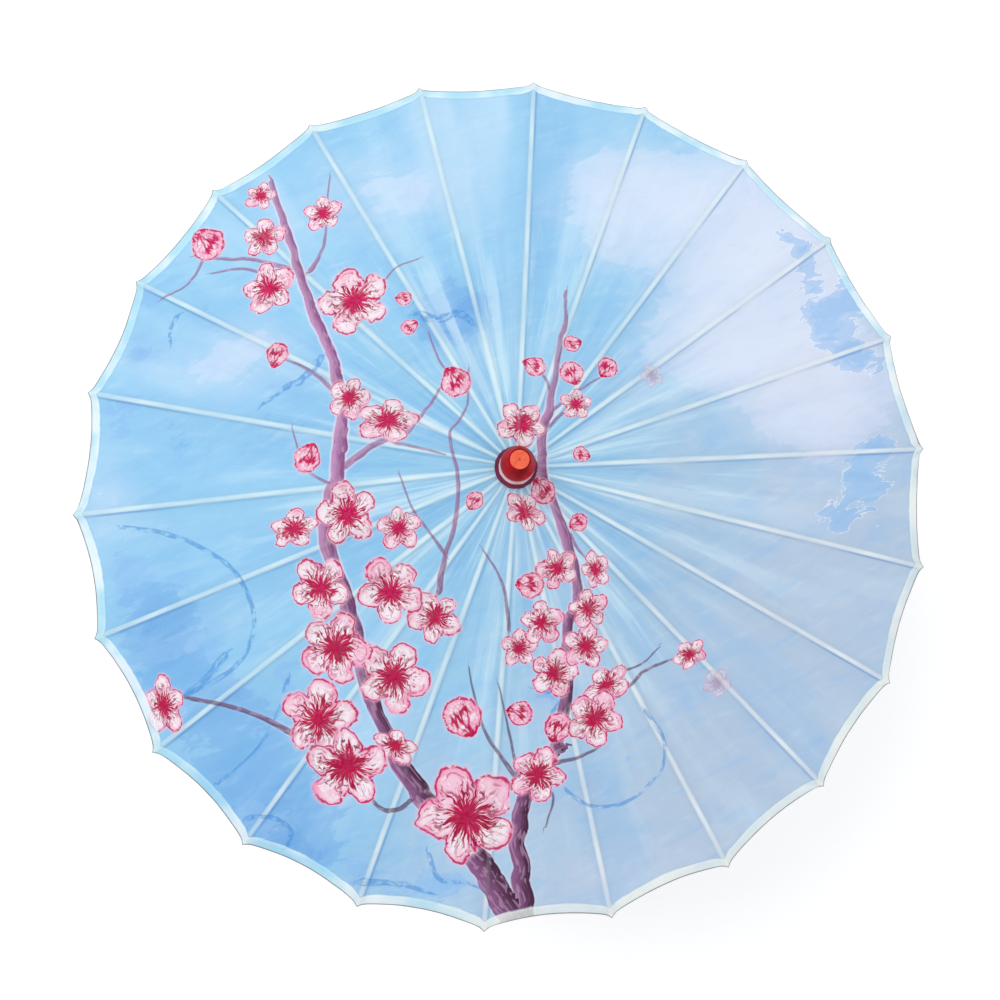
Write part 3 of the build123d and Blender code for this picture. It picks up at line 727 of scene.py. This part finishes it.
def gore_point(rib, along_row, u):
    """A point of the gore over a rib, with its distances in mm from the rib's middle, the hem and the shaft.
    along_row is (share of the way out to the hem's first row, None), or (1.0, distance from the hem in mm)
    from there on. u is -1 to 1 across."""
    share, hem_mm = along_row
    middle = rib * 2 * HALF
    psi = u * HALF
    gap_angle = middle + math.copysign(HALF, u)          # the middle of the gap on this side
    a = abs(u)
    chord = RIM * math.cos(HALF) / math.cos(HALF - abs(psi))
    rim = chord - hem_sag(gap_angle) * MM * (2 * a - a * a) + NUB * MM * math.exp(-a / 0.055)
    if hem_mm is None:
        reach = MOUTH + (rim - HEM_ROWS[0] * MM - MOUTH) * share
        hem_mm = (rim - reach) / MM
    else:
        reach = rim - hem_mm * MM
    angle = middle + psi
    bisector = reach * math.cos(HALF - abs(psi))
    z = HUB_Z - (bisector / math.cos(HALF) - HINGE_R) * SLOPE + LIFT
    side = reach * math.sin(psi) / MM                    # mm from the rib's middle
    run = reach / RIM
    half_gap = reach * math.sin(HALF) / MM
    # the panel hangs a little between the ribs, and the rib stands up under it as a narrow ridge
    hang = HANG * math.sin(math.pi * min(1.0, run) ** 1.4 * 0.93)
    t = min(1.0, abs(side) / half_gap)
    z -= hang * MM * (0.5 - 0.5 * math.cos(math.pi * t))
    z += RIDGE * MM * math.exp(-(side / 3.1) ** 4) * min(1.0, run * 6)
    # gathers under the collar
    clear_of_rib = 1 - math.exp(-(side / 2) ** 2)
    z += 0.55 * MM * math.cos(angle * RIBS * 2) * math.exp(-((reach / MM - 20) / 26) ** 2) * clear_of_rib
    # puckers that run in from the rib's tip
    tip = math.hypot(hem_mm, side) + 1e-6
    bearing = math.atan2(side, hem_mm)
    pull = 0.6 + 0.4 * math.cos(rib * 2.3) + 0.5 * math.exp(-((math.cos(middle) - 1) / 0.12) ** 2)
    pucker = math.sin(bearing * 9 + rib * 1.7) * math.exp(-tip / 34) * min(1.0, tip / 7)
    z += 0.75 * MM * pull * pucker * min(1.0, abs(side) / 4)
    # soft unevenness, the same on both gores along their seam
    p = Vector((reach * math.cos(angle), reach * math.sin(angle), 0))
    z += 1.1 * MM * noise.noise(p * 17) * min(1.0, run * 1.5) * math.exp(-(2.5 / (abs(side) + 0.3)) ** 2)
    fine_folds = noise.noise(Vector((p.x * 34 + p.y * 12, p.y * 92 - p.x * 33, 3)))
    z += 0.35 * MM * fine_folds * min(1.0, abs(side) / 5)
    # the hem is two layers thick and rolls down at its edge
    z += 0.225 * MM * (1 - math.tanh((hem_mm - 10.3) * 1.2))
    z -= 0.9 * MM * math.exp(-(hem_mm / 0.8) ** 2)
    p.z = z
    return p, (side, hem_mm, reach / MM)


def blossoms_at(centre, spread):
    """The three topmost blossoms that reach a face."""
    hits = [i for i, (x, y, size, _) in enumerate(BLOSSOMS)
            if (centre - Vector((x, y))).length < size * FULLNESS * 1.12 + spread]
    return hits[::-1][:3] + [None] * 3


def strokes_at(centre, spread):
    """The two nearest strokes that reach a face."""
    near = []
    for b in branches:
        if not b.far(centre, 4.5):
            off, width, _ = b.read(centre)
            if abs(off) < width + spread + 0.8:
                near.append((abs(off) - width, b.index))
    return [branches[k] for _, k in sorted(near)[:2]] + [None] * 2


def corner_layers(mesh, points):
    """The print's frames, chosen face by face."""
    names = ("bloom_a", "bloom_b", "bloom_c", "stroke_a", "stroke_b")
    values = {n: [0.0] * (3 * len(mesh.loops)) for n in names}
    memo = {}
    for face in mesh.polygons:
        at = [points[v] for v in face.vertices]
        centre = sum(at, Vector((0, 0))) / len(at)
        spread = max((p - centre).length for p in at)
        hits = blossoms_at(centre, spread)
        near = strokes_at(centre, spread)
        for corner, vertex in zip(face.loop_indices, face.vertices):
            p = points[vertex]
            for n, hit in zip(names[:3], hits):
                values[n][3 * corner:3 * corner + 3] = NO_BLOSSOM if hit is None else blossom_frame(hit, p)
            for n, b in zip(names[3:], near):
                if b is None:
                    values[n][3 * corner:3 * corner + 3] = NO_STROKE
                else:
                    key = (vertex, b.index)
                    if key not in memo:
                        memo[key] = b.read(p)
                    off, width, along = memo[key]
                    values[n][3 * corner:3 * corner + 3] = (off, width + 100.0 * b.shade, along)
    for n in names:
        mesh.attributes.new(n, "FLOAT_VECTOR", "CORNER")
        mesh.attributes[n].data.foreach_set("vector", values[n])


def surface_normals(verts, rib, wide):
    """Normals from the surface itself, mirrored over the gap's middle, so that no seam shows there."""
    normals = []
    for index in range(len(verts)):
        k = index % wide
        if 0 < k < wide - 1:
            across = verts[index + 1] - verts[index - 1]
        else:
            seam_angle = (rib * 2 + (1 if k else -1)) * HALF
            across = Vector((-math.sin(seam_angle), math.cos(seam_angle), 0))
        down = verts[min(index + wide, len(verts) - wide + k)] - verts[max(index - wide, k)]
        n = down.cross(across)
        normals.append((n if n.z > 0 else -n).normalized())
    return normals


def point_layer(mesh, name, vectors):
    layer = mesh.attributes.new(name, "FLOAT_VECTOR", "POINT")
    layer.data.foreach_set("vector", [c for v in vectors for c in v])


def add_object(name, verts, faces, material):
    """A smooth object of one material, with its vertices where they stand."""
    mesh = bpy.data.meshes.new(name)
    mesh.from_pydata(verts, [], faces)
    mesh.polygons.foreach_set("use_smooth", [True] * len(faces))
    mesh.materials.append(material)
    made = bpy.data.objects.new(name, mesh)
    scene.collection.objects.link(made)
    return made


def make_gore(rib):
    steps = int((RIM - MOUTH) / MM / ROW_STEP)
    rows = [(k / steps, None) for k in range(steps + 1)] + [(1.0, d) for d in HEM_ROWS[1:]]
    wide = COLUMNS + 1
    verts, marks = [], []
    for row in rows:
        for k in range(wide):
            u = 2 * k / COLUMNS - 1
            u = math.copysign(abs(u) ** CROWDING, u) if u else 0.0
            p, mark = gore_point(rib, row, u)
            verts.append(p)
            marks.append(mark)
    corners = [r * wide + k for r in range(len(rows) - 1) for k in range(COLUMNS)]
    faces = [(a, a + wide, a + wide + 1, a + 1) for a in corners]
    gore = add_object(f"canopy_gore_{rib + 1:02d}", verts, faces, cloth)
    mesh = gore.data
    flat = [Vector((p.x, p.y)) / RIM * 100 for p in verts]
    uv = mesh.uv_layers.new(name="UVMap")
    for loop in mesh.loops:
        q = flat[loop.vertex_index]
        uv.data[loop.index].uv = (0.5 + q.x / 200, 0.5 + q.y / 200)
    point_layer(mesh, "seam", marks)
    point_layer(mesh, "wash", [[washes(q, spots) for spots in (PALE, DEEP, ISLES)] for q in flat])
    corner_layers(mesh, flat)
    mesh.normals_split_custom_set_from_vertices(surface_normals(verts, rib, wide))

    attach(gore, f"{rib_names[rib]}_body")
    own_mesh(gore)
    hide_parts("canopy")
    return gore


gores = [make_gore(rib) for rib in range(RIBS)]

# ---------------------------------------------------------------- the collar, a ragged felt ring under the cap
collar_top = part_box("cap_collar")[1]
COLLAR_STEPS = 132                                      # around
COLLAR_RINGS = [10.8, 12.5, 14.2, 15.4, 16.4, 17.1, collar_top.x / MM]   # radii in mm
CONE = 0.06                                             # the collar's fall from the cap to its edge


def around(a, frequency, seed):
    """Noise on a circle."""
    return noise.noise(Vector((math.cos(a) * frequency, math.sin(a) * frequency, seed)))


def make_collar_ring():
    inner, outer = COLLAR_RINGS[0], COLLAR_RINGS[-1]
    verts, faces = [], []
    for ring in COLLAR_RINGS:
        for k in range(COLLAR_STEPS):
            a = 2 * math.pi * k / COLLAR_STEPS
            rag = around(a, 6, 1) * 0.5 + around(a, 22, 4) * 0.35
            share = (ring - inner) / (outer - inner)
            lean = 0.5 + 0.8 * math.cos(a - LOWER_LEFT)
            r = (ring + (rag + lean) * share ** 3) * MM
            lift = 0.35 * MM * around(a, 4, ring * 0.2) * share
            z = collar_top.z - 0.15 * MM - (r - inner * MM) * CONE + lift
            verts.append((r * math.cos(a), r * math.sin(a), z))
    for ring in range(len(COLLAR_RINGS) - 1):
        for k in range(COLLAR_STEPS):
            a, b = ring * COLLAR_STEPS + k, ring * COLLAR_STEPS + (k + 1) % COLLAR_STEPS
            faces.append((a, a + COLLAR_STEPS, b + COLLAR_STEPS, b))
    ring = add_object("collar_ring", verts, faces, looks["collar"])
    wall = ring.modifiers.new("wall", "SOLIDIFY")
    wall.thickness, wall.offset = 0.9 * MM, -1.0
    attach(ring, "shaft_body")
    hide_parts("cap_collar")


make_collar_ring()

# ---------------------------------------------------------------- floor, light and camera
FLOOR_HALF = 4.0
floor_z = cad_box[0].z
floor_mesh = bpy.data.meshes.new("floor")
floor_corners = [(x * FLOOR_HALF, y * FLOOR_HALF, floor_z) for x, y in ((-1, -1), (1, -1), (1, 1), (-1, 1))]
floor_mesh.from_pydata(floor_corners, [], [(0, 1, 2, 3)])
floor = bpy.data.objects.new("floor", floor_mesh)
scene.collection.objects.link(floor)
paper = begin("floor_paper")
surface(principled(Base_Color=(0.95, 0.95, 0.95, 1), Roughness=0.9,
                   Emission_Color=(1, 1, 1, 1), Emission_Strength=0.12))
floor_mesh.materials.append(paper)

world = bpy.data.worlds.new("studio")
scene.world = world
world.use_nodes = True
background = world.node_tree.nodes["Background"]
background.inputs["Color"].default_value = (0.985, 0.99, 1.0, 1)
background.inputs["Strength"].default_value = 0.80


def lamp(name, place, aim, size, power_w, colour):
    data = bpy.data.lights.new(name, "AREA")
    data.shape, data.size, data.energy, data.color = "DISK", size, power_w, colour
    ob = bpy.data.objects.new(name, data)
    scene.collection.objects.link(ob)
    ob.location = place
    ob.rotation_mode = "QUATERNION"
    ob.rotation_quaternion = (Vector(aim) - Vector(place)).to_track_quat("-Z", "Y")


CANOPY_MIDDLE = (0, 0, 0.4)
lamp("key", (-1.3, 1.2, 2.6), CANOPY_MIDDLE, 1.1, 26, (1.0, 0.985, 0.96))
lamp("fill", (1.6, -0.9, 2.0), CANOPY_MIDDLE, 1.6, 8, (0.95, 0.98, 1.0))

# The camera looks almost straight down. Its place and the point it looks at are in mm from the hub.
hub = Vector((0, 0, HUB_Z))
camera_data = bpy.data.cameras.new("camera")
camera_data.lens, camera_data.sensor_width = 24.19, 36.0     # mm
camera_data.clip_start, camera_data.clip_end = 0.02, 50
camera = bpy.data.objects.new("camera", camera_data)
scene.collection.objects.link(camera)
camera.location = hub + Vector((-41.7, -77.6, 560.2)) * MM
look = (hub + Vector((-11.6, -17.6, -93.0)) * MM - camera.location).normalized()
right = look.cross(Vector((0.0831, 0.9965, 0))).normalized()
up = right.cross(look)
camera.rotation_mode = "QUATERNION"
camera.rotation_quaternion = Matrix((right, up, -look)).transposed().to_quaternion()
scene.camera = camera

bpy.context.view_layer.update()
